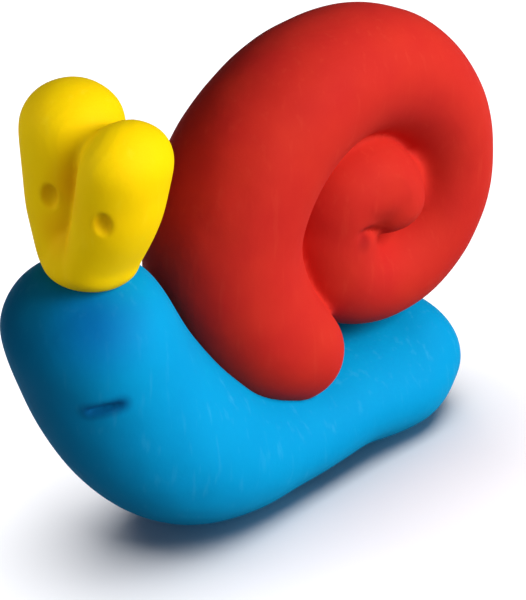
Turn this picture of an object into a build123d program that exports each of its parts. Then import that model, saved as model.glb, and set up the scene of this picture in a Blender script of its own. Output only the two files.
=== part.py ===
"""A snail of modelling clay: a blue body roll, a red roll coiled into the shell, and two yellow eyes.

Millimetres, +Z up, the face towards -Y, the tail towards +Y, the snail's left side towards +X.
The origin is under the middle of the whole snail, on the table that it stands on.

Every piece is a hand-rolled lump of solid clay, pressed onto its neighbours. It is described as a
roll: the places along its middle, each with the half width (across the snail) and the half depth (in
the snail's upright plane) of the roll there, and a rounded end past the first and the last place.
The rolls are laid out on the body's own middle plane, X = 0, and moved to the origin at the end.
"""
from build123d import *
from collections import namedtuple
import math
import os

Place = namedtuple("Place", "x y z half_width half_depth")
Ring = namedtuple("Ring", "turn x half_width half_depth")

# ---- body roll: a sausage that lies on the table and turns up into the neck and head ----
tail_end = Place(x=-2.4, y=39.0, z=11.4, half_width=12.8, half_depth=9.4)
tail_pad = Place(x=-0.8, y=33.5, z=8.2, half_width=14.0, half_depth=9.7)
waist = Place(x=0.0, y=20.0, z=9.2, half_width=13.2, half_depth=9.6)
back = Place(x=0.0, y=7.0, z=8.9, half_width=13.5, half_depth=9.9)
belly = Place(x=0.0, y=-7.0, z=10.6, half_width=14.2, half_depth=12.2)
chest = Place(x=0.0, y=-16.8, z=15.7, half_width=14.4, half_depth=13.9)
neck = Place(x=-1.9, y=-24.2, z=25.0, half_width=14.4, half_depth=13.7)
head = Place(x=-3.2, y=-31.0, z=39.3, half_width=14.2, half_depth=12.4)
tail_bulge = 8.6        # how far the rounded end reaches past the last place, along the roll
head_bulge = 9.9

# ---- shell roll: thinnest at the tip in the middle of the coil, thickest at the front of the shell ----
# each ring is a place along the roll, at its turn in degrees from the tip
coil_tip = Ring(turn=0, x=3.4, half_width=8.8, half_depth=6.4)
coil_curl = Ring(turn=150, x=1.0, half_width=9.0, half_depth=6.4)
coil_inside = Ring(turn=205, x=-0.3, half_width=9.1, half_depth=7.4)
coil_bottom = Ring(turn=275, x=0.3, half_width=9.4, half_depth=7.4)
coil_rear = Ring(turn=340, x=1.3, half_width=10.6, half_depth=9.6)
coil_rise = Ring(turn=395, x=1.5, half_width=11.2, half_depth=10.0)
coil_crown = Ring(turn=475, x=0.3, half_width=11.9, half_depth=10.8)
coil_front = Ring(turn=535, x=0.0, half_width=12.1, half_depth=12.1)
coil_foot = Ring(turn=575, x=1.0, half_width=11.2, half_depth=11.2)
coil_knob = Ring(turn=595, x=1.9, half_width=10.0, half_depth=9.0)
coil_tip_angle = 0.0    # where the tip lies, from straight back towards straight up
coil_tip_offset = 6.3   # the tip's middle, out from the middle of the coil
curl_end = 160.0        # the tip stays on that radius up to this turn, and the roll has opened out by...
open_end = 360.0        # ...this one, where it lies on the outside of the tip
coil_oval = 1.04        # the coil is this much longer than it is high
whorl_squeeze = 1.2     # the depth to which two neighbouring turns are pressed into each other
tip_bulge = 7.0         # the roll's two rounded ends
knob_bulge = 8.0

# ---- eyes: two short cones with rounded tops, side by side on the head ----
left_eye_foot = Place(x=4.6, y=-1.4, z=3.6, half_width=4.9, half_depth=6.8)     # all from the head's top
left_eye_middle = Place(x=7.8, y=-0.6, z=10.6, half_width=5.9, half_depth=7.4)
left_eye_top = Place(x=10.2, y=-0.4, z=19.8, half_width=6.9, half_depth=7.9)
right_eye_foot = Place(x=-1.6, y=0.6, z=3.0, half_width=5.9, half_depth=6.5)
right_eye_middle = Place(x=-1.8, y=0.2, z=11.2, half_width=7.0, half_depth=7.1)
right_eye_top = Place(x=-1.9, y=0.6, z=23.2, half_width=7.7, half_depth=8.0)
eye_foot_bulge = 3.2
eye_top_bulge = 6.6
eye_seam_x = 3.9        # the flat where the two eyes are squeezed together, from the head's middle
eye_press = 2.4         # how deep the eyes' feet are pressed into the head

# ---- pupils and mouth: dents made with a tool ----
pupil_radius = 1.5      # a round-ended stick
pupil_depth = 1.5
pupil_rise = 15.1       # up from the eyes' feet, like the eyes' own places
left_pupil_turn = 30.0  # the direction the pupil faces, from straight ahead towards the snail's left
right_pupil_turn = 15.0
mouth_length = 8.4      # a slit cut with the edge of a blade, in the throat
mouth_width = 1.2
mouth_depth = 1.6
mouth_height = 31.4
mouth_turn = 37.0       # as for the pupils
mouth_tilt = 16.0       # the slit rises towards the snail's left
blade_round = 0.45      # the share of the slit's width that its blade's edges are rounded by

# ---- how the pieces are pressed together ----
shell_press = 6.1       # the coil's front end into the back
nape_press = 1.9        # the coil's front into the nape

section_gap = 4.0                   # from one section of a roll to the next, at most
ring_step = 13.0                    # the same in degrees, round the coil
dome_angles = (12, 30, 50, 70)      # the sections of a rounded end, in degrees from its pole
settle_steps = 60                   # rounds of pressing the coil down and forwards
beyond_all = 400.0                  # further than the snail reaches: for cutting blocks and lines of sight


def ellipse(centre, along, half_width, half_depth):
    """One section of a roll: its width is across the snail, and it faces along the roll."""
    plane = Plane(origin=centre, x_dir=(1, 0, 0), z_dir=along)
    return (plane * Ellipse(half_width, half_depth)).face()


def rounded_end(place, outwards, bulge):
    """The sections of a roll's rounded end, from its pole to the place that it starts from."""
    centre = Vector(place.x, place.y, place.z)
    sections = [Vertex(*(centre + outwards * bulge))]
    for angle in dome_angles:
        share = math.sin(math.radians(angle))
        reach = bulge * math.cos(math.radians(angle))
        section_centre = centre + outwards * reach
        sections.append(ellipse(section_centre, outwards, place.half_width * share, place.half_depth * share))
    return sections


def along_curve(before, start, stop, after, share):
    """A point of the smooth curve that passes through start and stop, a share of the way between them."""
    slope_in = (stop - before) / 2
    slope_out = (after - start) / 2
    left = 1 - share
    ends = start * left * left * (1 + 2 * share) + stop * share * share * (3 - 2 * share)
    return ends + slope_in * share * left * left - slope_out * share * share * left


def filled_in(places):
    """The roll's places with more in between, so that no two are further apart than the section gap."""
    lead = [2 * near - far for near, far in zip(places[0], places[1])]
    trail = [2 * near - far for near, far in zip(places[-1], places[-2])]
    rows = [lead, *places, trail]
    close = []
    for four in zip(rows, rows[1:], rows[2:], rows[3:]):
        count = math.ceil(math.dist(four[1][:3], four[2][:3]) / section_gap)
        for step in range(count):
            close.append(Place(*[along_curve(*values, step / count) for values in zip(*four)]))
    return close + [places[-1]]


def directions(places):
    """The direction of the roll's middle line at each place."""
    points = [Vector(place.x, place.y, place.z) for place in places]
    neighbours = zip([points[0], *points], [*points[1:], points[-1]])
    return [(after - before).normalized() for before, after in neighbours]


def loft_places(places, along, first_bulge=None, last_bulge=None):
    """A roll through the places; an end with no bulge is cut off flat."""
    sections = []
    if first_bulge:
        sections += rounded_end(places[0], -along[0], first_bulge)
    for place, direction in zip(places, along):
        centre = (place.x, place.y, place.z)
        sections.append(ellipse(centre, direction, place.half_width, place.half_depth))
    if last_bulge:
        sections += reversed(rounded_end(places[-1], along[-1], last_bulge))
    return loft(sections)


def roll(places, first_bulge, last_bulge):
    close = filled_in(places)
    return loft_places(close, directions(close), first_bulge, last_bulge)


def moved(place, x=0.0, y=0.0, z=0.0):
    return place._replace(x=place.x + x, y=place.y + y, z=place.z + z)


# ---- the coil's middle line ----

coil_rings = [coil_tip, coil_curl, coil_inside, coil_bottom, coil_rear, coil_rise, coil_crown,
              coil_front, coil_foot, coil_knob]


def ring_at(turn):
    """The roll's side shift, half width and half depth at any turn, between the two nearest rings."""
    for before, after in zip(coil_rings, coil_rings[1:]):
        if turn <= after.turn:
            break
    share = (turn - before.turn) / (after.turn - before.turn)
    return Ring(*[low + (high - low) * share for low, high in zip(before, after)])


def coil_radius(turn):
    """From the coil's middle to the roll's middle: the outer turns lie on the inner ones."""
    if turn > 360:
        inner = turn - 360
        return coil_radius(inner) + ring_at(inner).half_depth + ring_at(turn).half_depth - whorl_squeeze
    opened = coil_tip_offset + ring_at(0).half_depth + ring_at(360).half_depth - whorl_squeeze
    share = min(max((turn - curl_end) / (open_end - curl_end), 0.0), 1.0)
    return coil_tip_offset + (opened - coil_tip_offset) * share * share * (3 - 2 * share)


def coil_place(turn):
    """The place of the roll at a turn, with the coil's middle at Y = 0 and Z = 0."""
    angle = math.radians(coil_tip_angle + turn)
    ring = ring_at(turn)
    y = coil_radius(turn) * math.cos(angle) * coil_oval
    z = coil_radius(turn) * math.sin(angle)
    return Place(ring.x, y, z, ring.half_width, ring.half_depth)


def coil_places(y, z):
    """The whole roll from its knob to its tip, with the coil's middle at the given place."""
    count = math.ceil(coil_knob.turn / ring_step)
    return [moved(coil_place(coil_knob.turn * (1 - step / count)), y=y, z=z) for step in range(count + 1)]


# ---- where the coil comes to rest ----

def deepest_press(roll_places, seat_places):
    """How far the first roll is pressed into the second."""
    return max(
        place.half_depth + seat.half_depth - math.hypot(place.y - seat.y, place.z - seat.z)
        for place in roll_places
        for seat in seat_places
    )


def settle_coil():
    """Push the coil down onto the back and forwards onto the nape, until both are pressed as named."""
    seat = filled_in([tail_end, tail_pad, waist, back, belly, chest])
    nape = filled_in([neck, head])
    y = back.y + coil_knob.half_depth
    z = back.z + back.half_depth + coil_radius(coil_bottom.turn)
    for _ in range(settle_steps):
        z += deepest_press(coil_places(y, z), seat) - shell_press
        y += deepest_press(coil_places(y, z), nape) - nape_press
    return y, z


# ---- the pieces ----

def make_body():
    below_table = Box(beyond_all, beyond_all, beyond_all, align=(Align.CENTER, Align.CENTER, Align.MAX))
    body = roll([tail_end, tail_pad, waist, back, belly, chest, neck, head], tail_bulge, head_bulge)
    return body - below_table


def make_shell(y, z):
    """The coil in two lengths, each less than a whole turn, which share one section."""
    places = coil_places(y, z)
    along = directions(places)
    shared = len(places) // 2
    outer_length = loft_places(places[:shared + 1], along[:shared + 1], first_bulge=knob_bulge)
    inner_length = loft_places(places[shared:], along[shared:], last_bulge=tip_bulge)
    return outer_length + inner_length


def make_eye(foot, middle, top):
    """An eye on the head's top, sunk by the press depth."""
    places = [moved(place, x=head.x, y=head_top.Y, z=head_top.Z - eye_press) for place in (foot, middle, top)]
    return roll(places, eye_foot_bulge, eye_top_bulge)


def first_hit(solid, origin, towards):
    """Where a straight line from the origin leaves the solid."""
    line = Edge.make_line(origin, origin + towards * beyond_all)
    inside = solid & line
    return max((vertex.center() for vertex in inside.vertices()), key=lambda point: (point - origin).length)


def ahead(turn):
    """The level direction that faces ahead, turned towards the snail's left."""
    return Vector(math.sin(math.radians(turn)), -math.cos(math.radians(turn)), 0)


def make_pupil(eye, middle, turn):
    """The stick's round end, pushed into the eye."""
    height = head_top.Z - eye_press + pupil_rise
    origin = Vector(head.x + middle.x, head_top.Y + middle.y, height)
    mark = first_hit(eye, origin, ahead(turn))
    return Pos(*(mark + ahead(turn) * (pupil_radius - pupil_depth))) * Sphere(pupil_radius)


def make_mouth(body):
    """A thin lens, pushed edge first into the throat."""
    origin = Vector(neck.x, neck.y, mouth_height)
    mark = first_hit(body, origin, ahead(mouth_turn))
    half_length = mouth_length / 2
    rim_radius = (half_length ** 2 + mouth_depth ** 2) / (2 * mouth_depth)
    centre = mark + ahead(mouth_turn) * (rim_radius - mouth_depth)
    blade = fillet(Cylinder(rim_radius, mouth_width).edges(), mouth_width * blade_round)
    return Pos(*centre) * Rot(0, 0, mouth_turn) * Rot(0, mouth_tilt, 0) * blade


body = make_body()
head_top = first_hit(body, Vector(head.x, head.y, head.z), Vector(0, 0, 1))
coil_y, coil_z = settle_coil()
shell = make_shell(coil_y, coil_z)

left_block = Box(beyond_all, beyond_all, beyond_all, align=(Align.MIN, Align.CENTER, Align.CENTER))
left_side = Pos(head.x + eye_seam_x, 0, 0) * left_block
left_lump = make_eye(left_eye_foot, left_eye_middle, left_eye_top)
right_lump = make_eye(right_eye_foot, right_eye_middle, right_eye_top)
left_eye = left_lump - (right_lump - left_side)
right_eye = right_lump - (left_lump & left_side)

body = body - make_mouth(body) - shell - left_eye - right_eye
left_eye = left_eye - make_pupil(left_eye, left_eye_middle, left_pupil_turn)
right_eye = right_eye - make_pupil(right_eye, right_eye_middle, right_pupil_turn)

nodes = {"body_roll": body, "shell_coil": shell, "eye_left": left_eye, "eye_right": right_eye}
whole = Compound([solid for piece in nodes.values() for solid in piece.solids()]).bounding_box()
to_origin = Pos(-whole.center().X, -whole.center().Y, -whole.min.Z)
os.makedirs("parts", exist_ok=True)
for name, piece in nodes.items():
    export_step(to_origin * piece, f"parts/{name}.step")
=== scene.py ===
import math
from collections import namedtuple

import bpy
from mathutils import Matrix, Vector


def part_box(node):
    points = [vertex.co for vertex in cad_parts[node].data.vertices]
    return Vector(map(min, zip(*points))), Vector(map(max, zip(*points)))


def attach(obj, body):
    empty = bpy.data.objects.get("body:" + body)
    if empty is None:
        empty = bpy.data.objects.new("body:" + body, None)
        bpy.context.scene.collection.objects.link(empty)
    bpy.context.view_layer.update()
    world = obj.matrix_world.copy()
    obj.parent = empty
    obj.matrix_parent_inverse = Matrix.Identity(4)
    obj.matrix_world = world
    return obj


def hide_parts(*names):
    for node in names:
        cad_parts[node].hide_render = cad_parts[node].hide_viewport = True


# A snail rolled by hand from modelling clay: a blue body roll, a red roll coiled into the shell, and
# two yellow eyes squeezed together on the head. The face is towards -Y, the snail's left towards +X.
# Each lump starts as a ring that is extruded along the roll, and is then worked as clay is: seated on
# its neighbours, pressed with thumbs, and poked with a tool.

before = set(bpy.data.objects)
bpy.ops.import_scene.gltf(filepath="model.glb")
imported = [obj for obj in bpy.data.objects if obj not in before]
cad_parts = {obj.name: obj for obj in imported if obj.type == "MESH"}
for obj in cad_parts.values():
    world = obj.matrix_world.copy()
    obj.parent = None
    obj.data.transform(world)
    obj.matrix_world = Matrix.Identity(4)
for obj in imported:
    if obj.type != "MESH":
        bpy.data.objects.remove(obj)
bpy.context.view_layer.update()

MM = 0.001
BODY_LOW, BODY_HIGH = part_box("body_roll")
# the clay's places and sizes are in millimetres, measured from the middle of the body's belly, on
# the table
BELLY_TO_SIDE = 14.5
BELLY_TO_TAIL = 48.1
START = Vector((BODY_HIGH.x - BELLY_TO_SIDE * MM, BODY_HIGH.y - BELLY_TO_TAIL * MM, BODY_LOW.z))

Place = namedtuple("Place", "x y z half_width half_depth")
Ring = namedtuple("Ring", "centre angle half_width half_depth")
Turn = namedtuple("Turn", "turn x half_width half_depth")
Dent = namedtuple("Dent", "place along into half_sizes")
Stroke = namedtuple("Stroke", "place reach times")
Mark = namedtuple("Mark", "tint centre reach strength")


# ---- working the clay ----

END_RINGS = (8, 22, 38, 54, 70)         # degrees from the pole of a rounded end
ROLL_LEVELS = 2
FINGER_PRESSURE = 0.5


def deselect_all():
    bpy.ops.object.select_all(action="DESELECT")


def work_on(piece):
    """Make the piece the only one that the next operators change."""
    if bpy.context.object and bpy.context.object.mode != "OBJECT":
        bpy.ops.object.mode_set(mode="OBJECT")
    deselect_all()
    piece.select_set(True)
    bpy.context.view_layer.objects.active = piece


def apply_modifier(piece, kind, **settings):
    work_on(piece)
    bpy.ops.object.modifier_add(type=kind)
    modifier = piece.modifiers[-1]
    for name, value in settings.items():
        setattr(modifier, name, value)
    bpy.ops.object.modifier_apply(modifier=modifier.name)


def along_curve(before, start, stop, after, share):
    """A value on the smooth curve through start and stop, a share of the way between them."""
    slope_in = (stop - before) / 2
    slope_out = (after - start) / 2
    left = 1 - share
    ends = start * left * left * (1 + 2 * share) + stop * share * share * (3 - 2 * share)
    return ends + slope_in * share * left * left - slope_out * share * share * left


def filled_in(places, gap=4.0):
    """The roll's places, with more in between, so that none are further apart than the gap."""
    lead = [2 * near - far for near, far in zip(places[0], places[1])]
    trail = [2 * near - far for near, far in zip(places[-1], places[-2])]
    rows = [lead, *places, trail]
    close = []
    for four in zip(rows, rows[1:], rows[2:], rows[3:]):
        count = math.ceil(math.dist(four[1][:3], four[2][:3]) / gap)
        for step in range(count):
            close.append(Place(*[along_curve(*values, step / count) for values in zip(*four)]))
    return close + [places[-1]]


def rings_along(places, first_bulge, last_bulge):
    """The roll's rings in metres, with its two ends rounded off; the angle is from +Y towards +Z."""
    points = [Vector(place[:3]) for place in places]
    rings = []
    angle = None
    for number, place in enumerate(places):
        ahead = points[min(number + 1, len(points) - 1)] - points[max(number - 1, 0)]
        heading = math.atan2(ahead.z, ahead.y)
        if angle is not None:
            heading = angle + math.remainder(heading - angle, 2 * math.pi)
        angle = heading
        rings.append(Ring(points[number], angle, place.half_width, place.half_depth))
    first = rounded_end(rings[0], -1, first_bulge)
    last = rounded_end(rings[-1], 1, last_bulge)
    return [to_frame(ring) for ring in [*first, *rings, *reversed(last)]]


def rounded_end(ring, side, bulge):
    """The rings of a rounded end, from its pole; side is -1 behind the ring and 1 ahead of it."""
    outwards = Vector((0, math.cos(ring.angle), math.sin(ring.angle))) * side
    ends = []
    for degrees in END_RINGS:
        share = math.sin(math.radians(degrees))
        centre = ring.centre + outwards * bulge * math.cos(math.radians(degrees))
        ends.append(Ring(centre, ring.angle, ring.half_width * share, ring.half_depth * share))
    return ends


def to_frame(ring):
    return Ring(START + ring.centre * MM, ring.angle, ring.half_width * MM, ring.half_depth * MM)


def roll_clay(name, rings, points=24):
    """Extrude one ring along the roll: moved, turned and resized at each place."""
    first = rings[0]
    deselect_all()
    bpy.ops.mesh.primitive_circle_add(
        vertices=points, radius=first.half_depth, fill_type="NGON",
        location=first.centre, rotation=(first.angle - math.pi / 2, 0, 0))
    piece = bpy.context.object
    piece.name = name
    piece.data.name = name
    bpy.ops.object.transform_apply(location=True, rotation=True, scale=True)
    bpy.ops.object.mode_set(mode="EDIT")
    bpy.ops.mesh.select_all(action="SELECT")
    bpy.ops.transform.resize(
        value=(first.half_width / first.half_depth, 1, 1), center_override=first.centre)
    for before, after in zip(rings, rings[1:]):
        bpy.ops.mesh.extrude_region_move(TRANSFORM_OT_translate={"value": after.centre - before.centre})
        bpy.ops.transform.rotate(
            value=-(after.angle - before.angle), orient_axis="X", center_override=after.centre)
        thicker = after.half_depth / before.half_depth
        wider = after.half_width / before.half_width
        bpy.ops.transform.resize(value=(wider, thicker, thicker), center_override=after.centre)
    bpy.ops.mesh.select_all(action="SELECT")
    bpy.ops.mesh.normals_make_consistent(inside=False)
    bpy.ops.object.mode_set(mode="OBJECT")
    apply_modifier(piece, "SUBSURF", levels=ROLL_LEVELS, render_levels=ROLL_LEVELS)
    return piece


def copy_of(piece, name):
    work_on(piece)
    bpy.ops.object.duplicate()
    copied = bpy.context.object
    copied.name = name
    return copied


def thinned(piece, name, by):
    """A copy of the piece with its surface drawn in by that many millimetres."""
    copied = copy_of(piece, name)
    bpy.ops.object.mode_set(mode="EDIT")
    bpy.ops.mesh.select_all(action="SELECT")
    bpy.ops.transform.shrink_fatten(value=-by * MM)
    bpy.ops.object.mode_set(mode="OBJECT")
    return copied


def cut_away(piece, cutter):
    """Take the cutter's space out of the piece, and throw the cutter away."""
    apply_modifier(piece, "BOOLEAN", operation="DIFFERENCE", solver="EXACT", object=cutter)
    remove(cutter)


def joined(lumps):
    """The lumps as one object, still overlapping until it is kneaded."""
    work_on(lumps[0])
    for lump in lumps:
        lump.select_set(True)
    bpy.ops.object.join()
    return lumps[0]


def remove(piece):
    work_on(piece)
    bpy.ops.object.delete()


def knead(piece, grain, rounds):
    """Merge the lump into one skin of faces as small as the grain, and smooth it as fingers do."""
    apply_modifier(piece, "REMESH", mode="VOXEL", voxel_size=grain * MM, adaptivity=0.0)
    apply_modifier(piece, "SMOOTH", factor=FINGER_PRESSURE, iterations=rounds)


def roughen(piece, name, wave, depth):
    """The slight unevenness of a lump rolled under a palm, in waves of that length and depth."""
    unevenness = bpy.data.textures.new(name, type="CLOUDS")
    unevenness.noise_scale = wave * MM
    unevenness.noise_depth = 1
    apply_modifier(
        piece, "DISPLACE", texture=unevenness, texture_coords="LOCAL", strength=depth * MM,
        mid_level=0.5)


def select_points(piece, chosen):
    """Go into edit mode with only some points of the skin selected; chosen tests a point's place."""
    work_on(piece)
    bpy.ops.object.mode_set(mode="EDIT")
    bpy.ops.mesh.select_mode(type="VERT")
    bpy.ops.mesh.select_all(action="DESELECT")
    bpy.ops.object.mode_set(mode="OBJECT")
    for vertex in piece.data.vertices:
        vertex.select = chosen(vertex.co)
    bpy.ops.object.mode_set(mode="EDIT")


def poke(piece, dent):
    """Poke a rounded stick into the piece; the half sizes are along, across and into the dent."""
    deepest = Vector(dent.into).normalized()
    across = deepest.cross(Vector(dent.along)).normalized()
    turned = Matrix((across.cross(deepest), across, deepest)).transposed()
    deselect_all()
    bpy.ops.mesh.primitive_uv_sphere_add(
        segments=32, ring_count=16, radius=MM, location=START + Vector(dent.place) * MM,
        rotation=turned.to_euler(), scale=dent.half_sizes)
    cut_away(piece, bpy.context.object)


def stroke_smooth(piece, stroke):
    """Stroke a fingertip over the skin within reach of the place, until its creases are soft."""
    middle = START + Vector(stroke.place) * MM
    select_points(piece, lambda point: (point - middle).length < stroke.reach * MM)
    bpy.ops.mesh.vertices_smooth(factor=FINGER_PRESSURE, repeat=stroke.times)
    bpy.ops.object.mode_set(mode="OBJECT")


def cut_flat(piece):
    """Slice off what hangs below the table, and close the foot."""
    work_on(piece)
    bpy.ops.object.mode_set(mode="EDIT")
    bpy.ops.mesh.select_all(action="SELECT")
    bpy.ops.mesh.bisect(
        plane_co=(0, 0, BODY_LOW.z), plane_no=(0, 0, -1), use_fill=True, clear_outer=True)
    bpy.ops.object.mode_set(mode="OBJECT")


def set_down(piece, give):
    """Flatten the foot on the table again, as far up as the give, after the kneading."""
    select_points(piece, lambda point: point.z < BODY_LOW.z + give * MM)
    bpy.ops.transform.resize(value=(1, 1, 0), center_override=(0, 0, BODY_LOW.z))
    bpy.ops.object.mode_set(mode="OBJECT")


# ---- body roll ----

TAIL_END = Place(x=-2.0, y=39.4, z=10.3, half_width=13.7, half_depth=10.9)
TAIL_PAD = Place(x=-0.8, y=33.5, z=8.3, half_width=14.3, half_depth=10.7)
WAIST = Place(x=0.0, y=20.0, z=9.2, half_width=13.2, half_depth=9.6)
BACK = Place(x=0.0, y=7.0, z=8.9, half_width=13.5, half_depth=9.9)
BELLY = Place(x=0.0, y=-7.0, z=10.6, half_width=14.2, half_depth=12.2)
CHEST = Place(x=0.0, y=-16.8, z=15.7, half_width=14.4, half_depth=13.9)
NECK = Place(x=-2.0, y=-24.6, z=25.0, half_width=14.4, half_depth=13.9)
HEAD = Place(x=-3.3, y=-31.3, z=39.3, half_width=14.2, half_depth=12.6)
TAIL_BULGE = 8.6
HEAD_BULGE = 9.9
MOUTH = Dent(
    place=(7.3, -37.5, 31.4), along=(5.3, 4.2, 2.0), into=(-0.6, 0.78, 0.1),
    half_sizes=(3.8, 0.7, 1.1))
BODY_GRAIN = 0.4            # how small the faces of its skin are
FOOT_GIVE = 0.2


def roll_body():
    places = filled_in([TAIL_END, TAIL_PAD, WAIST, BACK, BELLY, CHEST, NECK, HEAD])
    return roll_clay("body_clay", rings_along(places, TAIL_BULGE, HEAD_BULGE))


# ---- shell roll ----

COIL_MIDDLE = Vector((0, 21.9, 43.5))
COIL_TURNS = [
    Turn(turn=0, x=2.9, half_width=9.6, half_depth=8.0),            # the tip
    Turn(turn=60, x=2.8, half_width=9.5, half_depth=7.9),
    Turn(turn=120, x=2.2, half_width=9.3, half_depth=7.8),
    Turn(turn=215, x=0.9, half_width=9.2, half_depth=8.8),
    Turn(turn=275, x=0.3, half_width=9.4, half_depth=8.7),          # the bottom of the inner turn
    Turn(turn=340, x=1.4, half_width=10.4, half_depth=9.5),
    Turn(turn=395, x=1.7, half_width=11.0, half_depth=10.1),        # the rear
    Turn(turn=455, x=0.6, half_width=11.6, half_depth=10.9),        # the crown
    Turn(turn=505, x=-0.4, half_width=12.4, half_depth=12.3),
    Turn(turn=540, x=-1.5, half_width=12.6, half_depth=12.9),       # the front
    Turn(turn=558, x=-0.6, half_width=12.6, half_depth=13.0),
    Turn(turn=575, x=1.2, half_width=11.9, half_depth=12.0),
    Turn(turn=595, x=2.8, half_width=10.0, half_depth=9.0),         # the knob on the back
]
COIL_TIP_OFFSET = 4.5       # from the coil's middle to the tip's
CURL_END = 185.0            # up to here the roll curls at the tip's radius, and then it opens
FULL_TURN = 360.0           # and from here on it lies on the turn inside it
COIL_OVAL = 1.04            # how much longer the coil is than it is high
WHORL_SQUEEZE = 0.7         # how far two turns are pressed into each other
TURN_STEP = 13.0
TIP_BULGE = 5.3
KNOB_BULGE = 7.5
COIL_HEART = [      # the clay that is pinched together in the middle of the coil, around the tip
    Place(x=2.3, y=18.2, z=46.8, half_width=9.2, half_depth=5.0),
    Place(x=2.8, y=22.5, z=46.6, half_width=9.6, half_depth=6.2),
    Place(x=2.6, y=27.5, z=46.4, half_width=9.6, half_depth=6.0),
    Place(x=-0.5, y=35.0, z=42.5, half_width=7.3, half_depth=6.8),
]
HEART_BULGE = 4.0
TIP_NOTCH = Dent(       # where the tip's underside is pressed in with a tool
    place=(10.2, 19.4, 41.4), along=(0, 4.2, -1.4), into=(-1, 0, 0), half_sizes=(4.3, 0.8, 2.4))
NOTCH_LIP = (10.0, 18.2, 40.2)
BEHIND_TIP = (6.0, 37.5, 46.0)
TIP_FACE = (10.5, 22.0, 46.5)
HIDDEN_MIDDLE = (-6.5, 22.0, 44.0)
SHELL_STROKES = [
    Stroke(NOTCH_LIP, reach=5.0, times=6),
    Stroke(NOTCH_LIP, reach=4.0, times=8),
    Stroke(NOTCH_LIP, reach=3.0, times=10),
    # the clay round the tip is stroked down, so that only the tip's own edge is crisp there
    Stroke(BEHIND_TIP, reach=7.0, times=30),
    Stroke(TIP_FACE, reach=4.0, times=40),
    # the hidden side of the coil's middle is pressed smooth with a thumb
    Stroke(HIDDEN_MIDDLE, reach=10.0, times=40),
    Stroke(HIDDEN_MIDDLE, reach=7.0, times=60),
]
SHELL_GRAIN = 0.45


def turn_at(turn):
    """The roll's side shift and thickness at any turn, between the two nearest given ones."""
    for before, after in zip(COIL_TURNS, COIL_TURNS[1:]):
        if turn <= after.turn:
            break
    share = (turn - before.turn) / (after.turn - before.turn)
    return Turn(*[low + (high - low) * share for low, high in zip(before, after)])


def coil_radius(turn):
    """From the coil's middle to the roll's middle: the outer turns lie on the inner ones."""
    if turn > FULL_TURN:
        inner = turn - FULL_TURN
        unpressed = coil_radius(inner) + turn_at(inner).half_depth + turn_at(turn).half_depth
        return unpressed - WHORL_SQUEEZE
    opened = COIL_TIP_OFFSET + turn_at(0).half_depth + turn_at(FULL_TURN).half_depth - WHORL_SQUEEZE
    share = min(max((turn - CURL_END) / (FULL_TURN - CURL_END), 0.0), 1.0)
    return COIL_TIP_OFFSET + (opened - COIL_TIP_OFFSET) * share * share * (3 - 2 * share)


def coil_place(turn):
    angle = math.radians(turn)
    at = turn_at(turn)
    y = COIL_MIDDLE.y + coil_radius(turn) * math.cos(angle) * COIL_OVAL
    z = COIL_MIDDLE.z + coil_radius(turn) * math.sin(angle)
    return Place(at.x, y, z, at.half_width, at.half_depth)


def roll_shell():
    """The tapered roll from its knob in to the tip, with the pinched clay in its middle."""
    knob = COIL_TURNS[-1].turn
    count = math.ceil(knob / TURN_STEP)
    places = [coil_place(knob * (1 - step / count)) for step in range(count + 1)]
    coil = roll_clay("shell_clay", rings_along(places, KNOB_BULGE, TIP_BULGE))
    heart = roll_clay("coil_heart", rings_along(filled_in(COIL_HEART), HEART_BULGE, HEART_BULGE))
    return joined([coil, heart])


# ---- eyes ----

LEFT_EYE = [
    Place(x=1.4, y=-32.2, z=51.0, half_width=4.9, half_depth=6.6),
    Place(x=4.6, y=-31.8, z=58.4, half_width=5.9, half_depth=7.2),
    Place(x=7.0, y=-31.8, z=68.0, half_width=6.1, half_depth=7.9),
]
RIGHT_EYE = [
    Place(x=-4.6, y=-31.0, z=51.0, half_width=5.9, half_depth=6.5),
    Place(x=-5.2, y=-31.0, z=58.6, half_width=7.2, half_depth=7.1),
    Place(x=-5.3, y=-30.6, z=70.8, half_width=7.8, half_depth=8.1),
]
EYE_FOOT = [        # what is left of the one lump that both eyes are pinched out of
    Place(x=-1.6, y=-31.4, z=50.6, half_width=8.0, half_depth=7.2),
    Place(x=-1.2, y=-31.5, z=52.4, half_width=7.6, half_depth=7.0),
]
EYE_FOOT_BULGE = 3.6
EYE_TOP_BULGE = 6.8
EYE_SEAM = Vector((0.9, 0, 64.0))       # the seam runs through here, and leans to the snail's left
EYE_SEAM_LEAN = 0.19
PUPIL_SHAPE = {"along": (0, 0.1, 1), "into": (-0.35, 1, 0.1), "half_sizes": (2.0, 1.3, 1.2)}
LEFT_PUPIL = Dent(place=(8.6, -38.2, 61.4), **PUPIL_SHAPE)
RIGHT_PUPIL = Dent(place=(-2.8, -37.8, 62.5), **PUPIL_SHAPE)
CREASE_TOP = (3.0, -35.5, 71.0)
EYE_STROKES = [     # the crease is stroked over at its top, where the eyes lean on each other
    Stroke(CREASE_TOP, reach=7.5, times=8),
    Stroke(CREASE_TOP, reach=6.0, times=14),
    Stroke(CREASE_TOP, reach=4.5, times=24),
    Stroke(CREASE_TOP, reach=3.0, times=40),
]
EYE_GRAIN = 0.35


def roll_eyes():
    """Both eyes as one lump of clay, before it is parted at the seam."""
    lumps = (("left_lump", LEFT_EYE), ("right_lump", RIGHT_EYE), ("eye_foot", EYE_FOOT))
    return joined([
        roll_clay(name, rings_along(filled_in(places), EYE_FOOT_BULGE, EYE_TOP_BULGE))
        for name, places in lumps])


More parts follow.
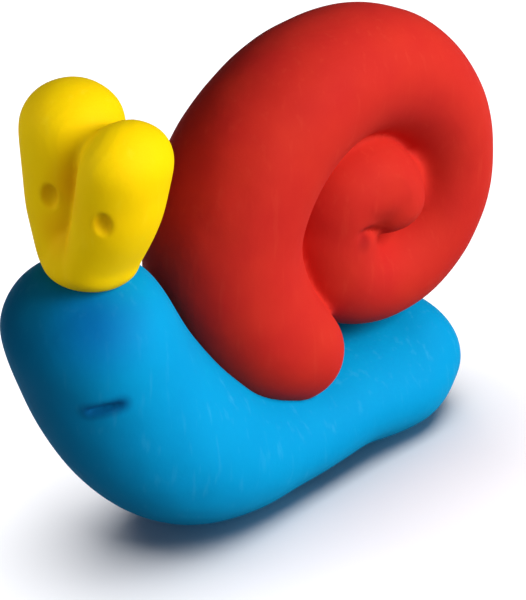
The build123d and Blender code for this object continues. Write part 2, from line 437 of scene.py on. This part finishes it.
def half_of(piece, name, side):
    """The piece's half on one side of the seam, closed flat; side is 1 towards +X."""
    half = copy_of(piece, name)
    bpy.ops.object.mode_set(mode="EDIT")
    bpy.ops.mesh.select_all(action="SELECT")
    bpy.ops.mesh.bisect(
        plane_co=START + EYE_SEAM * MM, plane_no=(side, 0, -side * EYE_SEAM_LEAN),
        use_fill=True, clear_inner=True)
    bpy.ops.object.mode_set(mode="OBJECT")
    return half


# ---- making the snail ----

SEAT_LAP = 0.3      # the seats are cut this much shallower than the lumps are, so that no gap shows
CRISP_EDGE = math.radians(60)

body = roll_body()
shell = roll_shell()
eyes = roll_eyes()

knead(eyes, EYE_GRAIN, rounds=14)
poke(eyes, LEFT_PUPIL)
poke(eyes, RIGHT_PUPIL)
knead(eyes, EYE_GRAIN, rounds=4)
for stroke in EYE_STROKES:
    stroke_smooth(eyes, stroke)

# each seat in the body is cut with the lump that sits in it
cut_flat(body)
cut_away(body, thinned(shell, "shell_seat", SEAT_LAP))
cut_away(body, thinned(eyes, "eye_seat", SEAT_LAP))
poke(body, MOUTH)
knead(body, BODY_GRAIN, rounds=6)

knead(shell, SHELL_GRAIN, rounds=6)
poke(shell, TIP_NOTCH)
knead(shell, SHELL_GRAIN, rounds=2)
for stroke in SHELL_STROKES:
    stroke_smooth(shell, stroke)

roughen(body, "body_unevenness", wave=14, depth=0.5)
roughen(shell, "shell_unevenness", wave=12, depth=0.45)
roughen(eyes, "eye_unevenness", wave=8, depth=0.25)
set_down(body, FOOT_GIVE)

left_eye = half_of(eyes, "left_eye_clay", side=1)
right_eye = half_of(eyes, "right_eye_clay", side=-1)
remove(eyes)

snail = [body, shell, left_eye, right_eye]
for piece in snail:
    work_on(piece)
    bpy.ops.object.shade_smooth_by_angle(angle=CRISP_EDGE)


# ---- materials ----

PATCH_WIDTH = 11            # about a fingertip
STREAK_WIDTH = 1.2
STREAK_LENGTH = 10
STREAK_STRENGTH = 0.22
GRAIN_WIDTH = 0.5           # the real grain is finer, and is drawn as coarse as it needs to show
GRAIN_DEPTH = 0.05
DIMPLE_WIDTH = 4
DIMPLE_DEPTH = 0.3
GLOW_DEPTHS = (0.6, 0.4, 0.3)       # how far red, green and blue light go under the skin


def linear(hex_colour):
    """An sRGB hex colour as the linear values that the shader works in."""
    channels = [int(hex_colour[start:start + 2], 16) / 255 for start in (1, 3, 5)]
    return (*[value / 12.92 if value <= 0.04045 else ((value + 0.055) / 1.055) ** 2.4
              for value in channels], 1)


def node(tree, kind, inputs=None, links=None, **settings):
    """Add a node to the tree with its settings, socket values and incoming links."""
    added = tree.nodes.new(kind)
    for name, value in settings.items():
        setattr(added, name, value)
    for socket, value in (inputs or {}).items():
        added.inputs[socket].default_value = value
    for socket, source in (links or {}).items():
        tree.links.new(source, added.inputs[socket])
    return added


def spot(tree, place, mark):
    """How much of the round mark shows: its strength at its centre, nothing beyond its reach."""
    away = node(
        tree, "ShaderNodeVectorMath", {1: START + Vector(mark.centre) * MM}, {0: place},
        operation="DISTANCE")
    return node(
        tree, "ShaderNodeMapRange",
        {"From Min": mark.reach * MM, "From Max": 0.0, "To Min": 0.0, "To Max": mark.strength},
        {"Value": away.outputs["Value"]}, interpolation_type="SMOOTHSTEP").outputs["Result"]


def tinted(tree, colour, tint, amount):
    """The colour, moved towards the tint by the amount."""
    return node(
        tree, "ShaderNodeMix", {"B": linear(tint)}, {"Factor": amount, "A": colour},
        data_type="RGBA").outputs["Result"]


def clay(name, light, deep, bloom, marks):
    """Oil-based modelling clay, rolled and pressed by hand: matt, and faintly waxy.

    light and deep are the patches that kneading leaves, bloom is the pale streaks of a dragged
    palm, and marks are round tinted spots: one real crumb, and painted shade on the brow, in the
    crease and in the pokes.
    """
    material = bpy.data.materials.new(name)
    material.use_nodes = True
    tree = material.node_tree
    tree.nodes.clear()
    place = node(tree, "ShaderNodeTexCoord").outputs["Object"]

    # soft patches of colour, where the clay was kneaded
    patches = node(
        tree, "ShaderNodeTexNoise",
        {"Scale": 1 / (PATCH_WIDTH * MM), "Detail": 3.0, "Roughness": 0.5}, {"Vector": place})
    kneaded = node(
        tree, "ShaderNodeMix", {"A": linear(deep), "B": linear(light)},
        {"Factor": patches.outputs["Fac"]}, data_type="RGBA").outputs["Result"]

    # faint pale streaks, dragged upwards over the skin
    stretched = node(
        tree, "ShaderNodeMapping",
        {"Scale": (1 / (STREAK_WIDTH * MM), 1 / (STREAK_WIDTH * MM), 1 / (STREAK_LENGTH * MM))},
        {"Vector": place})
    drags = node(
        tree, "ShaderNodeTexNoise", {"Scale": 1.0, "Detail": 2.0, "Roughness": 0.5},
        {"Vector": stretched.outputs["Vector"]})
    faint = node(
        tree, "ShaderNodeMapRange",
        {"From Min": 0.6, "From Max": 0.85, "To Min": 0.0, "To Max": STREAK_STRENGTH},
        {"Value": drags.outputs["Fac"]})
    colour = tinted(tree, kneaded, bloom, faint.outputs["Result"])
    # the marks are tinted in here: one real crumb, the rest painted shade
    for mark in marks:
        colour = tinted(tree, colour, mark.tint, spot(tree, place, mark))

    # the grain of the clay, and the shallow dimples of fingertips
    grain = node(
        tree, "ShaderNodeTexNoise",
        {"Scale": 1 / (GRAIN_WIDTH * MM), "Detail": 2.0, "Roughness": 0.6}, {"Vector": place})
    grained = node(
        tree, "ShaderNodeBump", {"Strength": 0.35, "Distance": GRAIN_DEPTH * MM},
        {"Height": grain.outputs["Fac"]})
    dimples = node(
        tree, "ShaderNodeTexNoise",
        {"Scale": 1 / (DIMPLE_WIDTH * MM), "Detail": 1.0, "Roughness": 0.4}, {"Vector": place})
    dimpled = node(
        tree, "ShaderNodeBump", {"Strength": 0.3, "Distance": DIMPLE_DEPTH * MM},
        {"Height": dimples.outputs["Fac"], "Normal": grained.outputs["Normal"]})

    # the oil gives almost no shine, and a little light goes under the skin, as in wax
    surface = node(
        tree, "ShaderNodeBsdfPrincipled",
        {"Roughness": 0.7, "IOR": 1.47, "Specular IOR Level": 0.07, "Subsurface Weight": 0.1,
         "Subsurface Radius": GLOW_DEPTHS, "Subsurface Scale": 1.0 * MM},
        {"Base Color": colour, "Normal": dimpled.outputs["Normal"]})
    node(tree, "ShaderNodeOutputMaterial", links={"Surface": surface.outputs["BSDF"]})
    return material


# painted shade on the brow: a deep blue patch where the face turns from the light
BROW_PAINTED_SHADE = Mark("#005CA8", centre=(5.0, -37.6, 45.1), reach=11.5, strength=0.7)
# painted shade along the mouth slit, darkening the poked dent
MOUTH_PAINTED_SHADE = [
    Mark("#003070", Vector(MOUTH.place) + Vector(MOUTH.along) * share, reach=2.4, strength=0.75)
    for share in (-0.4, -0.15, 0.1, 0.35)]
KNOB_CRUMB = Mark("#5E1410", centre=(8.9, -8.9, 30.9), reach=0.9, strength=0.9)
# painted shade in the pressed hollow under the coil's tip
NOTCH_PAINTED_SHADE = Mark("#901216", centre=(9.6, 17.6, 41.0), reach=3.2, strength=0.65)
# painted shade: orange in the crease between the eyes and in the two pupil dents
EYE_PAINTED_SHADE = [
    Mark("#E89400", centre=(1.0, -37.0, 64.5), reach=6.0, strength=0.4),
    Mark("#E89400", centre=(-1.5, -38.0, 57.0), reach=5.5, strength=0.4),
    Mark("#C88C00", LEFT_PUPIL.place, reach=2.6, strength=0.7),
    Mark("#C88C00", RIGHT_PUPIL.place, reach=2.6, strength=0.7),
]

# the bright blue of the body, matt, with faint pale drag lines, painted shade on the brow and
# painted shade in the mouth
blue = clay(
    "blue_modelling_clay_hand_rolled", light="#0099CE", deep="#008EC6", bloom="#48B4E0",
    marks=[BROW_PAINTED_SHADE, *MOUTH_PAINTED_SHADE])
# the warm red of the shell, matt, a little more crimson in its patches, with one dark crumb on the
# knob and painted shade under the tip, where it was pressed in
red = clay(
    "red_modelling_clay_hand_rolled", light="#DA3624", deep="#C82222", bloom="#E25038",
    marks=[KNOB_CRUMB, NOTCH_PAINTED_SHADE])
# the lemon yellow of the eyes, matt, with orange painted shade where they were squeezed and poked
yellow = clay(
    "yellow_modelling_clay_hand_rolled", light="#F9D600", deep="#F7C800", bloom="#FFE030",
    marks=EYE_PAINTED_SHADE)
FINISHES = {
    body: ("body_roll", "blue_clay", blue),
    shell: ("shell_coil", "red_clay", red),
    left_eye: ("eye_left", "yellow_clay", yellow),
    right_eye: ("eye_right", "yellow_clay", yellow),
}

for piece, (cad_node, slot, material) in FINISHES.items():
    piece.data.materials.clear()
    piece.data.materials.append(material)
    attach(piece, "root")
    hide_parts(cad_node)


# ---- floor, lights and camera ----

LOOK_AT = START + Vector((0, 4.0, 33.6)) * MM
CAMERA_AZIMUTH = math.radians(43)           # from the snail's front round to its left
CAMERA_HEIGHT_ANGLE = math.radians(26)
CAMERA_DISTANCE = 376 * MM
CAMERA_DROP = 1.6                           # how far below that place the camera is aimed
CAMERA_LENS = 141.6
SENSOR_HEIGHT = 36.0


def aim(thing, at):
    thing.rotation_euler = (at - thing.location).to_track_quat("-Z", "Y").to_euler()


def soft_light(name, towards, distance, size, watts, lit):
    """A square white soft box, towards that side of the snail, that lights only the things named."""
    deselect_all()
    bpy.ops.object.light_add(type="AREA", location=LOOK_AT + Vector(towards).normalized() * distance)
    light = bpy.context.object
    light.name = name
    light.data.size = size
    light.data.energy = watts
    aim(light, LOOK_AT)
    receivers = bpy.data.collections.new(name + "_lights")
    for thing in lit:
        receivers.objects.link(thing)
    light.light_linking.receiver_collection = receivers


# matt paper, almost white; it throws no light back on the snail, whose underside stays dark
deselect_all()
bpy.ops.mesh.primitive_plane_add(size=4.0, location=(0, 0, 0))
floor = bpy.context.object
floor.name = "studio_floor"
paper = bpy.data.materials.new("white_background_paper")
paper.use_nodes = True
paper.node_tree.nodes["Principled BSDF"].inputs["Base Color"].default_value = linear("#F4F4F6")
paper.node_tree.nodes["Principled BSDF"].inputs["Roughness"].default_value = 0.9
floor.data.materials.append(paper)
floor.visible_diffuse = False

back = Vector((
    math.sin(CAMERA_AZIMUTH) * math.cos(CAMERA_HEIGHT_ANGLE),
    -math.cos(CAMERA_AZIMUTH) * math.cos(CAMERA_HEIGHT_ANGLE),
    math.sin(CAMERA_HEIGHT_ANGLE)))
right = Vector((math.cos(CAMERA_AZIMUTH), math.sin(CAMERA_AZIMUTH), 0))
up = back.cross(right)

deselect_all()
bpy.ops.object.camera_add(location=LOOK_AT + back * CAMERA_DISTANCE)
camera = bpy.context.object
aim(camera, LOOK_AT - up * CAMERA_DROP * MM)
camera.data.sensor_fit = "VERTICAL"
camera.data.sensor_height = SENSOR_HEIGHT
camera.data.lens = CAMERA_LENS
camera.data.clip_start = 10 * MM
camera.data.dof.use_dof = False
scene = bpy.context.scene
scene.camera = camera
scene.view_settings.view_transform = "Standard"

# distances and sizes are in metres
soft_light(
    "key_soft_box", towards=(0.85, 0.28, 0.52), distance=0.7, size=0.45, watts=6.1, lit=snail)
soft_light(
    "low_side_card", towards=(0.95, -0.30, 0.06), distance=0.5, size=0.3, watts=0.9,
    lit=[body, left_eye, right_eye])
soft_light(
    "eye_fill_card", towards=(-0.5, -0.8, 0.35), distance=0.5, size=0.5, watts=1.4,
    lit=[left_eye, right_eye])
soft_light(
    "floor_soft_box", towards=(-0.09, -0.02, 1.0), distance=1.0, size=1.25, watts=21.0, lit=[floor])

# the dim, slightly cool light of the room
world = bpy.data.worlds.new("studio")
scene.world = world
world.use_nodes = True
world.node_tree.nodes["Background"].inputs["Color"].default_value = linear("#E8ECFF")
world.node_tree.nodes["Background"].inputs["Strength"].default_value = 0.12
